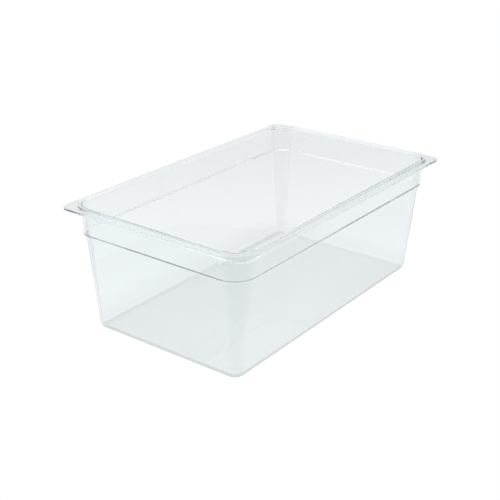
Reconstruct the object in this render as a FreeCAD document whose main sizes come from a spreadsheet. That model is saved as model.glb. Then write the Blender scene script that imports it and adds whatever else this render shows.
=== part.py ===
"""Full-size, deep, clear food pan: one injection moulding.

Frame: origin at the centre of the base's underside, +X along the length,
+Y across the width and +Z up. All lengths are millimetres and all angles degrees.

Every wall outline is a rounded rectangle whose four corner arcs are centred on the same
four upright lines. So one number, the corner radius, says how far out an outline lies,
and the wall keeps its thickness round the corners. Only the flange has corners of its own.
"""
import FreeCAD, Part
import Sketcher
import math
import os
import re

SIZES = [
    # alias, value, what it is
    ("overall_length", 530.0, "flange, end to end"),
    ("overall_width", 325.0, "flange, side to side"),
    ("pan_height", 197.0, "base to the top of the rim bead"),
    ("corner_span_x", 438.0, "between corner centres, along the length"),
    ("corner_span_y", 230.0, "between corner centres, across the width"),
    ("wall", 3.0, "wall and floor thickness"),
    ("base_radius", 16.5, "outer corner radius of the lower wall, at the base"),
    ("wall_draft", 5.3, "slope of the lower wall from upright"),
    ("base_edge_radius", 13.0, "rounding between wall and base, outside"),
    ("floor_edge_radius", 10.0, "rounding between wall and floor, inside"),
    ("shoulder_height", 152.2, "lowest level of the upper band"),
    ("shoulder_edge_radius", 2.0, "rounding of the band's lower edge"),
    ("band_radius", 34.0, "outer corner radius of the band, at the shoulder"),
    ("band_draft", 1.2, "slope of the band from upright"),
    ("ledge_height", 155.2, "stacking ledge inside the pan"),
    ("ledge_edge_radius", 2.6, "rounding of the ledge's inner edge"),
    ("ledge_root_radius", 0.4, "rounding where the ledge meets the band"),
    ("flange_top", 193.5, "upper face of the flange"),
    ("flange_plate", 3.0, "thickness of the flange"),
    ("flange_radius", 16.0, "corner radius of the flange"),
    ("lip_depth", 4.0, "height of the flange's outer edge"),
    ("lip_width", 3.0, "width of the lip under the flange's outer edge"),
    ("flange_edge_radius", 1.0, "rounding of the flange's outer edges"),
    ("bead_radius", 39.5, "outer corner radius of the rim bead"),
    ("bead_edge_radius", 1.4, "rounding of the bead's outer upper edge"),
    ("mouth_edge_radius", 0.7, "rounding of the mouth's edge, inside the bead"),
    ("bead_root_radius", 1.0, "rounding where the bead meets the flange"),
    ("channel_width", 2.2, "gap under the bead, outside the band"),
    ("channel_edge_radius", 0.8, "rounding inside the channel"),
]

EDGE_TOLERANCE = 0.02


def sheet_name(expression):
    """Put the sheet's name before each alias in an expression."""
    aliases = "|".join(alias for alias, _, _ in SIZES)
    return re.sub(r"\b(%s)\b" % aliases, r"Sizes.\1", expression)


def make_sheet(doc):
    """The spreadsheet of driving dimensions: meaning in column A, number in column B."""
    sheet = doc.addObject("Spreadsheet::Sheet", "Sizes")
    for row, (alias, value, meaning) in enumerate(SIZES, start=1):
        sheet.set("A%d" % row, meaning)
        sheet.set("B%d" % row, str(value))
        sheet.setAlias("B%d" % row, alias)
    doc.recompute()
    return sheet


def bind(target, path, expression):
    """Make one property follow the sheet."""
    target.setExpression(path, sheet_name(expression))


def number(target, expression):
    """The present value of an expression of aliases."""
    value = target.evalExpression(sheet_name(expression))
    return float(getattr(value, "Value", value))


class Outline:
    """A rounded rectangle, as three expressions over the sheet's aliases."""

    def __init__(self, length, width, radius):
        self.length = length
        self.width = width
        self.radius = radius

    def measured(self, target):
        return [number(target, text) for text in (self.length, self.width, self.radius)]


def ring(radius):
    """The wall outline that has this corner radius."""
    return Outline(
        "corner_span_x + 2 * (%s)" % radius,
        "corner_span_y + 2 * (%s)" % radius,
        radius,
    )


def flange_ring(inset):
    """The flange's outline, moved inwards by the inset."""
    return Outline(
        "overall_length - 2 * (%s)" % inset,
        "overall_width - 2 * (%s)" % inset,
        "flange_radius - (%s)" % inset,
    )


def draw_outline(sketch, outline):
    """Draw one constrained rounded rectangle, centred on the sketch's origin."""
    length, width, radius = outline.measured(sketch)
    centre_x = length / 2 - radius
    centre_y = width / 2 - radius
    first = sketch.GeometryCount
    up = FreeCAD.Vector(0, 0, 1)
    corners = [(1, 1, 0), (-1, 1, 90), (-1, -1, 180), (1, -1, 270)]
    for side_x, side_y, start in corners:
        centre = FreeCAD.Vector(side_x * centre_x, side_y * centre_y, 0)
        circle = Part.Circle(centre, up, radius)
        arc = Part.ArcOfCircle(circle, math.radians(start), math.radians(start + 90))
        sketch.addGeometry(arc, False)
    for index in range(4):
        here = sketch.Geometry[first + index]
        after = sketch.Geometry[first + (index + 1) % 4]
        sketch.addGeometry(Part.LineSegment(here.EndPoint, after.StartPoint), False)
    constrain_outline(sketch, outline, first)


def constrain_outline(sketch, outline, first):
    """Hold the four arcs and four lines from this index on to the outline's three sizes."""
    arcs = [first + index for index in range(4)]
    lines = [first + 4 + index for index in range(4)]
    for index in range(4):
        next_arc = arcs[(index + 1) % 4]
        sketch.addConstraint(Sketcher.Constraint("Tangent", arcs[index], 2, lines[index], 1))
        sketch.addConstraint(Sketcher.Constraint("Tangent", lines[index], 2, next_arc, 1))
    for index in range(1, 4):
        sketch.addConstraint(Sketcher.Constraint("Equal", arcs[0], arcs[index]))
    sketch.addConstraint(Sketcher.Constraint("Horizontal", lines[0]))
    sketch.addConstraint(Sketcher.Constraint("Vertical", lines[1]))
    sketch.addConstraint(Sketcher.Constraint("Symmetric", arcs[0], 3, arcs[2], 3, -1, 1))
    length, width, radius = outline.measured(sketch)
    across = Sketcher.Constraint("DistanceX", arcs[2], 1, arcs[0], 1, length)
    along = Sketcher.Constraint("DistanceY", arcs[2], 2, arcs[0], 2, width)
    corner = Sketcher.Constraint("Radius", arcs[0], radius)
    name_and_bind(sketch, across, "length_%d" % first, outline.length)
    name_and_bind(sketch, along, "width_%d" % first, outline.width)
    name_and_bind(sketch, corner, "radius_%d" % first, outline.radius)


def name_and_bind(sketch, constraint, name, expression):
    index = sketch.addConstraint(constraint)
    sketch.renameConstraint(index, name)
    bind(sketch, "Constraints." + name, expression)


def level_sketch(body, name, level, outlines):
    """A horizontal sketch at a level, holding one outline, or two for a ring."""
    sketch = body.newObject("Sketcher::SketchObject", name)
    planes = {feature.Role: feature for feature in body.Origin.OriginFeatures}
    sketch.AttachmentSupport = [(planes["XY_Plane"], "")]
    sketch.MapMode = "FlatFace"
    bind(sketch, "AttachmentOffset.Base.z", level)
    for outline in outlines:
        draw_outline(sketch, outline)
    body.Document.recompute()
    return sketch


def prism(body, kind, name, sketch, depth, draft, upwards):
    """A Pad or a Pocket whose sides lean out with height by the draft angle."""
    feature = body.newObject("PartDesign::" + kind, name)
    feature.Profile = sketch
    bind(feature, "Length", depth)
    runs_up = kind == "Pad"
    feature.Reversed = upwards != runs_up
    if draft:
        bind(feature, "TaperAngle", draft if upwards else "-1 * " + draft)
    sketch.Visibility = False
    body.Document.recompute()
    return feature


def add(body, name, level, outline, depth, draft="", upwards=True):
    """Sketch an outline at a level and pad it by the depth."""
    before = body.Shape.Volume if body.Tip else 0.0
    sketch = level_sketch(body, name + "_outline", level, [outline])
    feature = prism(body, "Pad", name, sketch, depth, draft, upwards)
    if feature.Shape.Volume <= before:
        raise RuntimeError(name + " added no material")
    return feature


def cut(body, name, level, outlines, depth, draft="", upwards=False):
    """Sketch one or two outlines at a level and pocket what they enclose by the depth."""
    before = body.Shape.Volume
    sketch = level_sketch(body, name + "_outline", level, outlines)
    feature = prism(body, "Pocket", name, sketch, depth, draft, upwards)
    if feature.Shape.Volume >= before:
        raise RuntimeError(name + " removed no material")
    return feature


def off_outline(point, outline_sizes):
    """How far a point is from an outline, seen from above."""
    length, width, radius = outline_sizes
    past_x = max(abs(point.x) - (length / 2 - radius), 0.0)
    past_y = max(abs(point.y) - (width / 2 - radius), 0.0)
    return abs(math.hypot(past_x, past_y) - radius)


def edges_on(feature, level, outline):
    """Names of the edges that run along an outline at a level."""
    height = number(feature, level)
    sizes = outline.measured(feature)
    names = []
    for index, edge in enumerate(feature.Shape.Edges, start=1):
        middle = (edge.FirstParameter + edge.LastParameter) / 2
        points = [vertex.Point for vertex in edge.Vertexes]
        points.append(edge.valueAt(middle))
        level_enough = all(abs(point.z - height) < EDGE_TOLERANCE for point in points)
        if level_enough and all(off_outline(point, sizes) < EDGE_TOLERANCE for point in points):
            names.append("Edge%d" % index)
    return names


def round_edges(body, name, radius, places):
    """Fillet the edges that lie at each (level, outline) place."""
    base = body.Tip
    names = []
    for level, outline in places:
        found = edges_on(base, level, outline)
        if not found:
            raise RuntimeError(name + " found no edge at " + level)
        names += found
    feature = body.newObject("PartDesign::Fillet", name)
    feature.Base = (base, names)
    bind(feature, "Radius", radius)
    body.Document.recompute()
    return feature


LOWER_TOP = "shoulder_height + shoulder_edge_radius"
LIP_UNDERSIDE = "flange_top - lip_depth"
PLATE_UNDERSIDE = "flange_top - flange_plate"


def lower_ring(level, inset="0"):
    """The lower wall's outline at a level, moved inwards by the inset."""
    return ring("base_radius + (%s) * tan( wall_draft * 1deg ) - %s" % (level, inset))


def band_ring(level, inset="0"):
    """The band's outline at a level, moved inwards by the inset."""
    rise = "((%s) - shoulder_height)" % level
    return ring("band_radius + %s * tan( band_draft * 1deg ) - %s" % (rise, inset))


def add_walls(body):
    """The solid under the rim: the upright band above, the tapered lower wall below.

    The lower wall starts above the band's rounded lower edge, so that it meets the rounding.
    """
    band_foot = band_ring("shoulder_height")
    add(body, "band", "shoulder_height", band_foot, LIP_UNDERSIDE + " - shoulder_height",
        "band_draft")
    round_edges(body, "shoulder_edge", "shoulder_edge_radius", [("shoulder_height", band_foot)])
    add(body, "lower_wall", LOWER_TOP, lower_ring(LOWER_TOP), LOWER_TOP, "wall_draft",
        upwards=False)


def add_rim(body):
    """The flange, and the bead that stands on it round the opening."""
    add(body, "flange", LIP_UNDERSIDE, flange_ring("0"), "lip_depth")
    add(body, "bead", "flange_top", ring("bead_radius"), "pan_height - flange_top")
    round_edges(body, "bead_root", "bead_root_radius", [("flange_top", ring("bead_radius"))])
    flange_edges = [("flange_top", flange_ring("0")), (LIP_UNDERSIDE, flange_ring("0"))]
    round_edges(body, "flange_edge", "flange_edge_radius", flange_edges)


def hollow_cavity(body):
    """The food cavity: two pockets with the stacking ledge between them.

    The floor's inner edge is rounded before the base's outer edge, which would
    otherwise break into the cavity's still sharp corner.
    """
    mouth = band_ring("pan_height", "wall")
    ledge = lower_ring("ledge_height", "wall")
    ledge_root = band_ring("ledge_height", "wall")
    floor = lower_ring("wall", "wall")
    cut(body, "upper_cavity", "pan_height", [mouth], "pan_height - ledge_height", "band_draft")
    cut(body, "lower_cavity", "ledge_height", [ledge], "ledge_height - wall", "wall_draft")
    round_edges(body, "floor_edge", "floor_edge_radius", [("wall", floor)])
    round_edges(body, "base_edge", "base_edge_radius", [("0", lower_ring("0"))])
    round_edges(body, "ledge_edge", "ledge_edge_radius", [("ledge_height", ledge)])
    round_edges(body, "ledge_root", "ledge_root_radius", [("ledge_height", ledge_root)])
    round_edges(body, "mouth_edge", "mouth_edge_radius", [("pan_height", mouth)])
    bead = ring("bead_radius")
    round_edges(body, "bead_edge", "bead_edge_radius", [("pan_height", bead)])


def hollow_rim(body):
    """Under the flange: the shallow relief inside the lip, and the channel under the bead."""
    band_side = band_ring(LIP_UNDERSIDE)
    lip_side = flange_ring("lip_width")
    channel_side = ring(band_side.radius + " + channel_width")
    cut(body, "flange_relief", LIP_UNDERSIDE, [lip_side, band_side], "lip_depth - flange_plate",
        upwards=True)
    cut(body, "channel", PLATE_UNDERSIDE, [channel_side, band_side], "flange_plate",
        upwards=True)
    channel_edges = [("flange_top", channel_side), ("flange_top", band_side)]
    round_edges(body, "channel_edges", "channel_edge_radius", channel_edges)


def make_pan(doc):
    body = doc.addObject("PartDesign::Body", "pan")
    body.Label = "pan"
    body.Placement = FreeCAD.Placement()
    add_walls(body)
    add_rim(body)
    hollow_cavity(body)
    hollow_rim(body)
    return body


def check(doc, bodies):
    """Stop unless every object computed and every body is one valid solid."""
    for thing in doc.Objects:
        if "Invalid" in thing.State or "Error" in thing.State:
            raise RuntimeError("%s did not compute: %s" % (thing.Name, thing.State))
    for body in bodies:
        if body.Shape.isNull() or not body.Shape.isValid():
            raise RuntimeError(body.Label + " has no valid shape")
        if len(body.Shape.Solids) != 1:
            raise RuntimeError(body.Label + " is not one solid")


def main():
    doc = FreeCAD.newDocument("FoodPan")
    make_sheet(doc)
    bodies = [make_pan(doc)]
    doc.recompute()
    check(doc, bodies)
    os.makedirs("parts", exist_ok=True)
    for body in bodies:
        body.Shape.exportStep("parts/%s.step" % body.Label)
        box = body.Shape.optimalBoundingBox(True, False)
        print(body.Label, "%.2f x %.2f x %.2f mm" % (box.XLength, box.YLength, box.ZLength))


main()
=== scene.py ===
"""Looks for the full-size clear food pan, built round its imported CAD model.

Everything is in metres, in the CAD's frame: origin under the middle of the base, +X along
the length, +Z up. The pan is lofted: one closed profile, from the middle of the base's
underside out to the flange and back down to the middle of the floor, is carried round
rounded-rectangle outlines.
"""

import math

import bpy
from mathutils import Matrix, Vector


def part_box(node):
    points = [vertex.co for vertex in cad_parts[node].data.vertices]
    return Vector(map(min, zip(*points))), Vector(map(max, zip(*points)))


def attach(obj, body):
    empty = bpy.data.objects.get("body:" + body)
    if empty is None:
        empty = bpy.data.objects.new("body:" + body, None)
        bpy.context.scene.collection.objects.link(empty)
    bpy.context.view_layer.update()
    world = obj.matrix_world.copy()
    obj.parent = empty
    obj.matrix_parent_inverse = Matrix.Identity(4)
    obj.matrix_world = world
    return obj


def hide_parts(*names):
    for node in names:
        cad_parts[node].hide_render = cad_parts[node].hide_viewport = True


MM = 0.001

# The pan's own sizes. Its overall length, width and height come from the CAD's box.
WALL = 3.0 * MM
CORNER_X = 219.0 * MM            # the wall's four corner centres
CORNER_Y = 115.0 * MM
BASE_RADIUS = 16.5 * MM          # corner radius of the lower wall, at the base
WALL_DRAFT = math.radians(5.3)
BASE_EDGE = 13.0 * MM
FLOOR_EDGE = 10.0 * MM
SHOULDER = 152.2 * MM            # lowest level of the upper band
SHOULDER_EDGE = 2.0 * MM
BAND_RADIUS = 34.0 * MM          # corner radius of the band, at the shoulder
BAND_DRAFT = math.radians(1.2)
LEDGE = 155.2 * MM               # stacking ledge inside
LEDGE_EDGE = 2.6 * MM
LEDGE_ROOT = 0.4 * MM
BEAD_ABOVE_FLANGE = 3.5 * MM
BEAD_RADIUS = 39.5 * MM
BEAD_EDGE = 1.4 * MM
MOUTH_EDGE = 0.7 * MM
BEAD_ROOT = 1.0 * MM
FLANGE_PLATE = 3.0 * MM
FLANGE_RADIUS = 16.0 * MM
FLANGE_EDGE = 1.0 * MM
LIP_DEPTH = 4.0 * MM
LIP_WIDTH = 3.0 * MM
CHANNEL_WIDTH = 2.2 * MM
CHANNEL_EDGE = 0.8 * MM
BROKEN_EDGE = 0.25 * MM          # the slight rounding that every moulded edge has

FLAT_MARGIN = 2.0 * MM           # a flat face's last ring, past the rounding beside it
ARC_STEPS = 10                   # facets in a rounded edge of the profile
CORNER_STEPS = 32                # facets in a corner of an outline
SIDE_STEPS_X = 16                # facets along a straight side of an outline
SIDE_STEPS_Y = 10


# ---------------------------------------------------------------- outlines

class WallOutline:
    """Rounded rectangles about the wall's corner centres; the offset is the corner radius."""

    def corner(self, offset):
        """Corner centre and corner radius."""
        return CORNER_X, CORNER_Y, offset


class FlangeOutline:
    """The flange's edge; offsets count outwards from it, so inner outlines are negative."""

    def __init__(self, half_length, half_width):
        self.centre_x = half_length - FLANGE_RADIUS
        self.centre_y = half_width - FLANGE_RADIUS

    def corner(self, offset):
        """Corner centre and corner radius."""
        return self.centre_x, self.centre_y, FLANGE_RADIUS + offset


def walk(outline, offset):
    """Points (x, y) once round an outline, with the outward direction at each."""
    centre_x, centre_y, radius = outline.corner(offset)
    points = []
    for quarter in range(4):
        side_x = 1 if quarter in (0, 3) else -1
        side_y = 1 if quarter in (0, 1) else -1
        centre = Vector((side_x * centre_x, side_y * centre_y))
        for step in range(CORNER_STEPS + 1):
            angle = math.pi / 2 * (quarter + step / CORNER_STEPS)
            away = Vector((math.cos(angle), math.sin(angle)))
            points.append((centre + radius * away, away))
        along_x = quarter in (0, 2)
        steps = SIDE_STEPS_X if along_x else SIDE_STEPS_Y
        start, away = points[-1]
        end = Vector((-start.x, start.y)) if along_x else Vector((start.x, -start.y))
        for step in range(1, steps):
            points.append((start.lerp(end, step / steps), away))
    return points


# ---------------------------------------------------------------- profile

def right_of(direction):
    """The unit normal on the right of a direction in the profile's plane."""
    return Vector((direction.y, -direction.x)).normalized()


def rounded_path(corners):
    """Points along a path of (offset, height, radius) corners, each corner rounded.

    The path keeps the plastic on its left. Each point comes with its surface normal, and
    both are 2-D vectors: outwards, then upwards.
    """
    places = [Vector(corner[:2]) for corner in corners]
    points = [(places[0], right_of(places[1] - places[0]))]
    for before, (offset, height, radius), after in zip(places, corners[1:], places[2:]):
        corner = Vector((offset, height))
        way_in = (corner - before).normalized()
        way_out = (after - corner).normalized()
        turn = math.atan2(way_in.x * way_out.y - way_in.y * way_out.x, way_in.dot(way_out))
        start = corner - way_in * radius * math.tan(abs(turn) / 2)
        reach = math.copysign(radius, turn) * right_of(way_in)
        centre = start - reach
        for step in range(ARC_STEPS + 1):
            swing = Matrix.Rotation(turn * step / ARC_STEPS, 2)
            points.append((centre + swing @ reach, swing @ right_of(way_in)))
    points.append((places[-1], right_of(places[-1] - places[-2])))
    return points


def wall_offset(height):
    """How far out the lower wall's outer face is at a height."""
    return BASE_RADIUS + height * math.tan(WALL_DRAFT)


def band_offset(height):
    """How far out the band's outer face is at a height."""
    return BAND_RADIUS + (height - SHOULDER) * math.tan(BAND_DRAFT)


def outside_path(flange_top):
    """Base, lower wall, shoulder, band and the hollow under the bead."""
    lip_underside = flange_top - LIP_DEPTH
    band_side = band_offset(lip_underside)
    channel_side = band_side + CHANNEL_WIDTH
    flange_underside = flange_top - FLANGE_PLATE
    return [
        (FLAT_MARGIN, 0.0, 0.0),
        (wall_offset(0.0), 0.0, BASE_EDGE),
        (wall_offset(SHOULDER), SHOULDER, BROKEN_EDGE),
        (BAND_RADIUS, SHOULDER, SHOULDER_EDGE),
        (band_side, lip_underside, BROKEN_EDGE),
        (band_side, flange_top, CHANNEL_EDGE),
        (channel_side, flange_top, CHANNEL_EDGE),
        (channel_side, flange_underside, BROKEN_EDGE),
        (channel_side + FLAT_MARGIN, flange_underside, 0.0),
    ]


def flange_path(flange_top):
    """The downturned edge of the flange, from its underside round to its top."""
    lip_underside = flange_top - LIP_DEPTH
    flange_underside = flange_top - FLANGE_PLATE
    return [
        (-LIP_WIDTH - FLAT_MARGIN, flange_underside, 0.0),
        (-LIP_WIDTH, flange_underside, BROKEN_EDGE),
        (-LIP_WIDTH, lip_underside, BROKEN_EDGE),
        (0.0, lip_underside, FLANGE_EDGE),
        (0.0, flange_top, FLANGE_EDGE),
        (-FLANGE_EDGE - FLAT_MARGIN, flange_top, 0.0),
    ]


def inside_path(flange_top, rim_top):
    """Bead, mouth, stacking ledge, inner wall and floor."""
    return [
        (BEAD_RADIUS + BEAD_ROOT + BROKEN_EDGE, flange_top, 0.0),
        (BEAD_RADIUS, flange_top, BEAD_ROOT),
        (BEAD_RADIUS, rim_top, BEAD_EDGE),
        (band_offset(rim_top) - WALL, rim_top, MOUTH_EDGE),
        (band_offset(LEDGE) - WALL, LEDGE, LEDGE_ROOT),
        (wall_offset(LEDGE) - WALL, LEDGE, LEDGE_EDGE),
        (wall_offset(WALL) - WALL, WALL, FLOOR_EDGE),
        (FLAT_MARGIN, WALL, 0.0),
    ]


# ---------------------------------------------------------------- the pan

class Loft:
    """Vertices, vertex normals and faces of a closed shell made of rings."""

    def __init__(self):
        self.vertices = []
        self.normals = []
        self.faces = []
        self.last_ring = None

    def add_vertex(self, place, normal):
        self.vertices.append(place)
        self.normals.append(normal)
        return len(self.vertices) - 1

    def add_ring(self, outline, offset, height, normal):
        """Carry one profile point round an outline and join it to the ring before."""
        ring = []
        for point, away in walk(outline, offset):
            across = away * normal.x
            place = (point.x, point.y, height)
            ring.append(self.add_vertex(place, (across.x, across.y, normal.y)))
        if self.last_ring:
            for near, far in self.pairs():
                self.faces.append((self.last_ring[near], self.last_ring[far], ring[far], ring[near]))
        self.last_ring = ring

    def pairs(self):
        """Places of neighbours round the last ring."""
        count = len(self.last_ring)
        return [(step, (step + 1) % count) for step in range(count)]

    def add_cap(self, upward):
        """Close the last ring with faces that run to a line along its middle."""
        half_line = CORNER_X - CORNER_Y
        on_line = {}
        inner = []
        for index in self.last_ring:
            x, _, height = self.vertices[index]
            x = round(min(max(x, -half_line), half_line), 6)
            if x not in on_line:
                on_line[x] = self.add_vertex((x, 0.0, height), (0.0, 0.0, upward))
            inner.append(on_line[x])
        for near, far in self.pairs():
            face = [self.last_ring[near], self.last_ring[far], inner[far]]
            if inner[near] != inner[far]:
                face.append(inner[near])
            self.faces.append(tuple(face if upward > 0 else reversed(face)))

    def make_object(self, name):
        mesh = bpy.data.meshes.new(name)
        mesh.from_pydata(self.vertices, [], self.faces)
        mesh.polygons.foreach_set("use_smooth", [True] * len(mesh.polygons))
        mesh.normals_split_custom_set_from_vertices(self.normals)
        piece = bpy.data.objects.new(name, mesh)
        bpy.context.scene.collection.objects.link(piece)
        return piece


def make_pan():
    """Loft the moulding between the CAD pan's base, flange edge and rim."""
    _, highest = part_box("pan")
    rim_top = highest[2]
    flange_top = rim_top - BEAD_ABOVE_FLANGE
    wall = WallOutline()
    flange = FlangeOutline(highest[0], highest[1])
    stages = [
        (wall, outside_path(flange_top)),
        (flange, flange_path(flange_top)),
        (wall, inside_path(flange_top, rim_top)),
    ]
    loft = Loft()
    for outline, path in stages:
        for place, normal in rounded_path(path):
            loft.add_ring(outline, place.x, place.y, normal)
            only_ring = len(loft.vertices) == len(loft.last_ring)
            if only_ring:
                loft.add_cap(-1.0)
    loft.add_cap(1.0)
    return loft.make_object("pan_moulding")


# ---------------------------------------------------------------- materials

def add_node(tree, kind, **settings):
    """A shader node with some of its properties set."""
    node = tree.nodes.new(kind)
    for name, value in settings.items():
        setattr(node, name, value)
    return node


def feed(tree, node, **inputs):
    """Set or link a node's inputs; an underscore stands for a space in an input's name."""
    for name, value in inputs.items():
        put(tree, node.inputs[name.replace("_", " ")], value)
    return node


def put(tree, socket, value):
    """Link a socket to an output, or give it a fixed value."""
    if isinstance(value, bpy.types.NodeSocket):
        tree.links.new(value, socket)
    else:
        socket.default_value = value


def calculate(tree, operation, *values):
    """The result of a Math node."""
    node = add_node(tree, "ShaderNodeMath", operation=operation)
    for socket, value in zip(node.inputs, values):
        put(tree, socket, value)
    return node.outputs[0]


def calculate_vector(tree, operation, *values):
    """The result of a Vector Math node: a vector, or a number where the operation gives one."""
    node = add_node(tree, "ShaderNodeVectorMath", operation=operation)
    for socket, value in zip(node.inputs, values):
        put(tree, socket, value)
    gives_number = operation in ("DOT_PRODUCT", "LENGTH")
    return node.outputs["Value" if gives_number else "Vector"]


MIX_SOCKETS = {                  # two inputs and the output of a Mix node, by data type
    "FLOAT": (2, 3, 0),
    "RGBA": (6, 7, 2),
}


def mixed(tree, kind, share, first, second):
    """The first value, changed to the second by a share from 0 to 1."""
    node = add_node(tree, "ShaderNodeMix", data_type=kind)
    first_socket, second_socket, result = MIX_SOCKETS[kind]
    put(tree, node.inputs[0], share)
    put(tree, node.inputs[first_socket], first)
    put(tree, node.inputs[second_socket], second)
    return node.outputs[result]


def mapped(tree, value, start, end, low, high, curve="LINEAR"):
    """A value between low and high as the input goes from start to end."""
    node = add_node(tree, "ShaderNodeMapRange", interpolation_type=curve)
    feed(tree, node, Value=value, From_Min=start, From_Max=end, To_Min=low, To_Max=high)
    return node.outputs["Result"]


def graded(tree, value, levels, curve="LINEAR"):
    """Grey levels from a colour ramp, given as (place, level) pairs."""
    node = add_node(tree, "ShaderNodeValToRGB")
    node.color_ramp.interpolation = curve
    elements = node.color_ramp.elements
    while len(elements) < len(levels):
        elements.new(0.5)
    for element, (place, level) in zip(elements, levels):
        element.position = place
        element.color = (level, level, level, 1.0)
    feed(tree, node, Fac=value)
    return node.outputs["Color"]


def noise(tree, place, scale, detail, stretch=(1.0, 1.0, 1.0)):
    """A noise pattern, stretched along the axes where the stretch is below 1."""
    node = add_node(tree, "ShaderNodeTexNoise")
    stretched = calculate_vector(tree, "MULTIPLY", place, stretch)
    feed(tree, node, Vector=stretched, Scale=scale, Detail=detail)
    return node.outputs["Fac"]


def corner_offset(tree, place):
    """How far a point is, in plan, beyond the box of the wall's corner centres."""
    beyond = calculate_vector(
        tree, "SUBTRACT", calculate_vector(tree, "ABSOLUTE", place), (CORNER_X, CORNER_Y, 0.0)
    )
    outside = calculate_vector(tree, "MAXIMUM", beyond, (0.0, 0.0, 0.0))
    return calculate_vector(tree, "MULTIPLY", outside, (1.0, 1.0, 0.0))


POLYCARBONATE_IOR = 1.585
WALL_TINT = (0.930, 0.961, 0.971, 1.0)
CORNER_TINT = (0.890, 0.922, 0.933, 1.0)
CORNER_TINT_REACH = (1.0 * MM, 14.0 * MM)    # how far round the upright corners it sets in
GRAZING_PAINTED_SHADE = (0.44, 0.48, 0.50, 1.0)       # painted shade where a wall turns edge-on, to darken its outlines
GRAZING_FACING = (0.62, 0.78)                # from 0 for square-on to 1 for edge-on
GRAZING_TOP = (145.0 * MM, 150.0 * MM)       # it stops below the shoulder
DEPTH_TINT = (0.68, 0.78, 0.83, 1.0)
DEPTH_DENSITY = 2.0                          # per metre, for light that runs along a wall

SCRATCH_SCALE = 420.0
SCRATCH_STRETCHES = ((0.05, 1.0, 0.6), (1.0, 0.06, 0.5))     # along X, then along Y
SCRATCH_LEVELS = (0.70, 0.76)                # noise above these is a scratch
SCRATCH_DEPTH = 0.004 * MM
SCRATCH_ROUGHNESS = 0.05
HANDLING_SCALE = 9.0
HANDLING_LEVELS = (0.35, 0.70)
HANDLING_ROUGHNESS = (0.02, 0.05)
MATT_ROUGHNESS = 0.14                        # the underside, which slides on shelves
MATT_HEIGHT = 0.6 * MM
WAVE_SCALE = 12.0
WAVE_DEPTH = 0.2 * MM


def tint_and_painted_edge_shade(tree, place, height):
    """A faint cool tint, deeper in the upright corners, and painted shade where walls are seen
    edge-on.
    """
    axes = add_node(tree, "ShaderNodeSeparateXYZ")
    feed(tree, axes, Vector=corner_offset(tree, place))
    in_corner = calculate(tree, "MINIMUM", axes.outputs["X"], axes.outputs["Y"])
    corner = mapped(tree, in_corner, *CORNER_TINT_REACH, 0.0, 1.0, "SMOOTHSTEP")
    facing = add_node(tree, "ShaderNodeLayerWeight").outputs["Facing"]
    edge_on = mapped(tree, facing, *GRAZING_FACING, 0.0, 1.0)
    in_wall = mapped(tree, height, *GRAZING_TOP, 1.0, 0.0)
    tint = mixed(tree, "RGBA", corner, WALL_TINT, CORNER_TINT)
    # painted shade: the colour darkens where a wall is seen edge-on, below the shoulder
    return mixed(tree, "RGBA", calculate(tree, "MULTIPLY", edge_on, in_wall), tint, GRAZING_PAINTED_SHADE)


def scratches(tree, place):
    """Thin short lines in two directions, as cutlery and stacking leave them: 1 on a line."""
    lines = []
    for stretch in SCRATCH_STRETCHES:
        pattern = noise(tree, place, SCRATCH_SCALE, 0.0, stretch)
        lines.append(mapped(tree, pattern, *SCRATCH_LEVELS, 0.0, 1.0))
    return calculate(tree, "MAXIMUM", *lines)


def handled_roughness(tree, place, height, scratched):
    """Polished faces, duller where handled and scratched, and a matt underside."""
    handling = noise(tree, place, HANDLING_SCALE, 3.0)
    handled = mapped(tree, handling, *HANDLING_LEVELS, *HANDLING_ROUGHNESS)
    marked = calculate(tree, "MULTIPLY_ADD", scratched, SCRATCH_ROUGHNESS, handled)
    matt = mapped(tree, height, 0.0, MATT_HEIGHT, MATT_ROUGHNESS, 0.0)
    return calculate(tree, "MAXIMUM", marked, matt)


def moulded_surface(tree, place, scratched):
    """Surface directions of gently wavy faces with fine grooves in them."""
    waves = add_node(tree, "ShaderNodeBump")
    feed(tree, waves, Height=noise(tree, place, WAVE_SCALE, 1.0), Distance=WAVE_DEPTH)
    grooves = add_node(tree, "ShaderNodeBump", invert=True)
    feed(tree, grooves, Height=scratched, Distance=SCRATCH_DEPTH, Normal=waves.outputs["Normal"])
    return grooves.outputs["Normal"]


def clear_polycarbonate():
    """Clear moulded plastic, with the slight wear of a pan in use."""
    material = bpy.data.materials.new("clear_polycarbonate")
    material.use_nodes = True
    tree = material.node_tree
    surface = tree.nodes["Principled BSDF"]
    place = add_node(tree, "ShaderNodeTexCoord").outputs["Object"]
    axes = add_node(tree, "ShaderNodeSeparateXYZ")
    feed(tree, axes, Vector=place)
    height = axes.outputs["Z"]
    scratched = scratches(tree, place)
    feed(tree, surface, IOR=POLYCARBONATE_IOR, Transmission_Weight=1.0)
    # the base colour holds painted shade on walls seen edge-on
    feed(tree, surface, Base_Color=tint_and_painted_edge_shade(tree, place, height))
    feed(tree, surface, Roughness=handled_roughness(tree, place, height, scratched))
    feed(tree, surface, Normal=moulded_surface(tree, place, scratched))
    depth = add_node(tree, "ShaderNodeVolumeAbsorption")
    feed(tree, depth, Color=DEPTH_TINT, Density=DEPTH_DENSITY)
    tree.links.new(depth.outputs["Volume"], tree.nodes["Material Output"].inputs["Volume"])
    return material


def seen_by_camera(tree, direct, indirect):
    """One value for what the camera sees directly, another for light and reflections."""
    path = add_node(tree, "ShaderNodeLightPath")
    return mixed(tree, "FLOAT", path.outputs["Is Camera Ray"], indirect, direct)


# ---------------------------------------------------------------- studio

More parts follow.
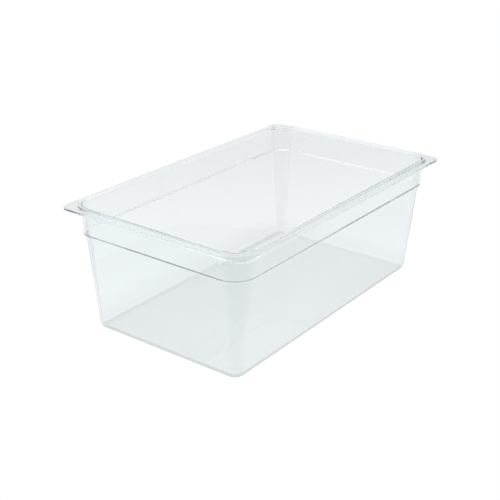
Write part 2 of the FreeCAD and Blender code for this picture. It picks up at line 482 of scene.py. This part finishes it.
FLOOR_SIZE = 24.0
FLOOR_GAP = 0.3 * MM             # air between the base and the floor
FLOOR_FALL_WAY = (0.68, 0.73, 0.0)   # painted fall-off of light: the paper gets darker this way, away from the camera
FLOOR_FALL_REACH = (-0.1, 0.7)
FLOOR_FALL_LEVELS = (1.05, 0.86)
BASE_SHADE = [                   # painted shadow: the paper's glow, by distance from the corner centres
    (4.0 * MM, 0.83),
    (10.0 * MM, 0.72),
    (16.0 * MM, 0.70),
    (20.0 * MM, 0.90),
    (45.0 * MM, 0.94),
    (90.0 * MM, 1.0),
]
SHADE_REACH = 100.0 * MM
TENT_TOP = Vector((-0.35, 0.0, 0.94)).normalized()
TENT_LEVELS = [(0.05, 0.8), (0.3, 1.0), (0.75, 0.9), (0.92, 1.0)]
BACK_WAY = (0.81, 0.586)         # in plan, away from the camera
BACK_LAMPS = [                   # rise, cosines at the lamp's edge and full part, level
    (1.11, 0.93, 0.99, 0.6),
    (0.08, 0.97, 0.995, 0.6),
]


def white_floor():
    """White paper that the camera sees as pure white.

    Through and in the plastic it glows with painted shade instead of being lit: darker under
    the base, with a painted dark line under its rounded edge, and darker with distance.
    """
    material = bpy.data.materials.new("studio_floor")
    material.use_nodes = True
    tree = material.node_tree
    place = add_node(tree, "ShaderNodeTexCoord").outputs["Object"]
    offset = calculate_vector(tree, "LENGTH", corner_offset(tree, place))
    levels = [(distance / SHADE_REACH, level) for distance, level in BASE_SHADE]
    shade = graded(tree, calculate(tree, "DIVIDE", offset, SHADE_REACH), levels)
    along = calculate_vector(tree, "DOT_PRODUCT", place, FLOOR_FALL_WAY)
    fall = mapped(tree, along, *FLOOR_FALL_REACH, *FLOOR_FALL_LEVELS)
    # painted shadow and painted fall-off of light, as the glow seen through and in the plastic
    glow = calculate(tree, "MULTIPLY", shade, fall)
    surface = tree.nodes["Principled BSDF"]
    feed(tree, surface, Base_Color=(0.0, 0.0, 0.0, 1.0), Specular_IOR_Level=0.0)
    feed(tree, surface, Emission_Color=(1.0, 1.0, 1.0, 1.0))
    feed(tree, surface, Emission_Strength=seen_by_camera(tree, 1.0, glow))
    return material


def make_floor():
    half = FLOOR_SIZE / 2
    corners = [(-half, -half, 0.0), (half, -half, 0.0), (half, half, 0.0), (-half, half, 0.0)]
    mesh = bpy.data.meshes.new("studio_floor")
    mesh.from_pydata(corners, [], [(0, 1, 2, 3)])
    floor = bpy.data.objects.new("studio_floor", mesh)
    floor.location.z = -FLOOR_GAP
    floor.data.materials.append(white_floor())
    bpy.context.scene.collection.objects.link(floor)


def make_tent():
    """A white light tent with two lamps behind the pan; the camera sees it as plain white."""
    world = bpy.data.worlds.new("studio")
    world.use_nodes = True
    bpy.context.scene.world = world
    tree = world.node_tree
    direction = add_node(tree, "ShaderNodeTexCoord").outputs["Generated"]
    upness = calculate_vector(tree, "DOT_PRODUCT", direction, TENT_TOP)
    glow = graded(tree, upness, TENT_LEVELS, "EASE")
    for rise, edge, full, level in BACK_LAMPS:
        way = Vector((*BACK_WAY, rise)).normalized()
        nearness = calculate_vector(tree, "DOT_PRODUCT", direction, way)
        lamp = mapped(tree, nearness, edge, full, 0.0, level, "SMOOTHSTEP")
        glow = calculate(tree, "ADD", glow, lamp)
    background = tree.nodes["Background"]
    feed(tree, background, Color=(1.0, 1.0, 1.0, 1.0), Strength=seen_by_camera(tree, 1.0, glow))


def make_softbox(name, place, size, power):
    """A square area light that faces the pan."""
    light = bpy.data.lights.new(name, "AREA")
    light.shape = "SQUARE"
    light.size = size
    light.energy = power
    softbox = bpy.data.objects.new(name, light)
    softbox.location = place
    softbox.rotation_euler = (-Vector(place)).to_track_quat("-Z", "Y").to_euler()
    bpy.context.scene.collection.objects.link(softbox)


# ---------------------------------------------------------------- camera

CAMERA_CENTRE = Vector((0.0, 0.0, 0.1))
CAMERA_AZIMUTH = math.radians(-54.1332)
CAMERA_ELEVATION = math.radians(22.9221)
CAMERA_DISTANCE = 1.53802
CAMERA_YAW = math.radians(-0.7093)
CAMERA_PITCH = math.radians(-0.7303)
CAMERA_ROLL = math.radians(0.7223)
CAMERA_LENS = 71.321


def make_camera():
    """The camera, placed round the pan's middle, then turned a little off it."""
    camera = bpy.data.objects.new("camera", bpy.data.cameras.new("camera"))
    camera.data.lens = CAMERA_LENS
    tilt = math.pi / 2 - CAMERA_ELEVATION
    orbit = Matrix.Rotation(CAMERA_AZIMUTH, 4, "Z") @ Matrix.Rotation(tilt, 4, "X")
    back = Matrix.Translation((0.0, 0.0, CAMERA_DISTANCE))
    aim = (
        Matrix.Rotation(CAMERA_ROLL, 4, "Z")
        @ Matrix.Rotation(-CAMERA_YAW, 4, "Y")
        @ Matrix.Rotation(CAMERA_PITCH, 4, "X")
    )
    camera.matrix_world = Matrix.Translation(CAMERA_CENTRE) @ orbit @ back @ aim
    bpy.context.scene.collection.objects.link(camera)
    bpy.context.scene.camera = camera


# ---------------------------------------------------------------- scene

LIGHT_BOUNCES = 96               # light runs a long way inside the clear rim

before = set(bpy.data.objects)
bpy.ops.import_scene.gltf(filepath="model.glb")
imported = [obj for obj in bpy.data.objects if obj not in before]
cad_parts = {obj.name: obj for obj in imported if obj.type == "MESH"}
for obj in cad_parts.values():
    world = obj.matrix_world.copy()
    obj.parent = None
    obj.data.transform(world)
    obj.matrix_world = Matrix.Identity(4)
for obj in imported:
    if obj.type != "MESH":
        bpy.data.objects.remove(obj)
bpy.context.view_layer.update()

pan = make_pan()
pan.data.materials.append(clear_polycarbonate())
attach(pan, "root")
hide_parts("pan")

make_floor()
make_tent()
make_softbox("key", place=(-0.8, 1.1, 1.5), size=1.2, power=1.0)
make_camera()

scene = bpy.context.scene
scene.view_settings.view_transform = "Standard"
scene.cycles.max_bounces = LIGHT_BOUNCES
scene.cycles.transmission_bounces = LIGHT_BOUNCES
scene.cycles.glossy_bounces = LIGHT_BOUNCES
scene.cycles.use_denoising = True
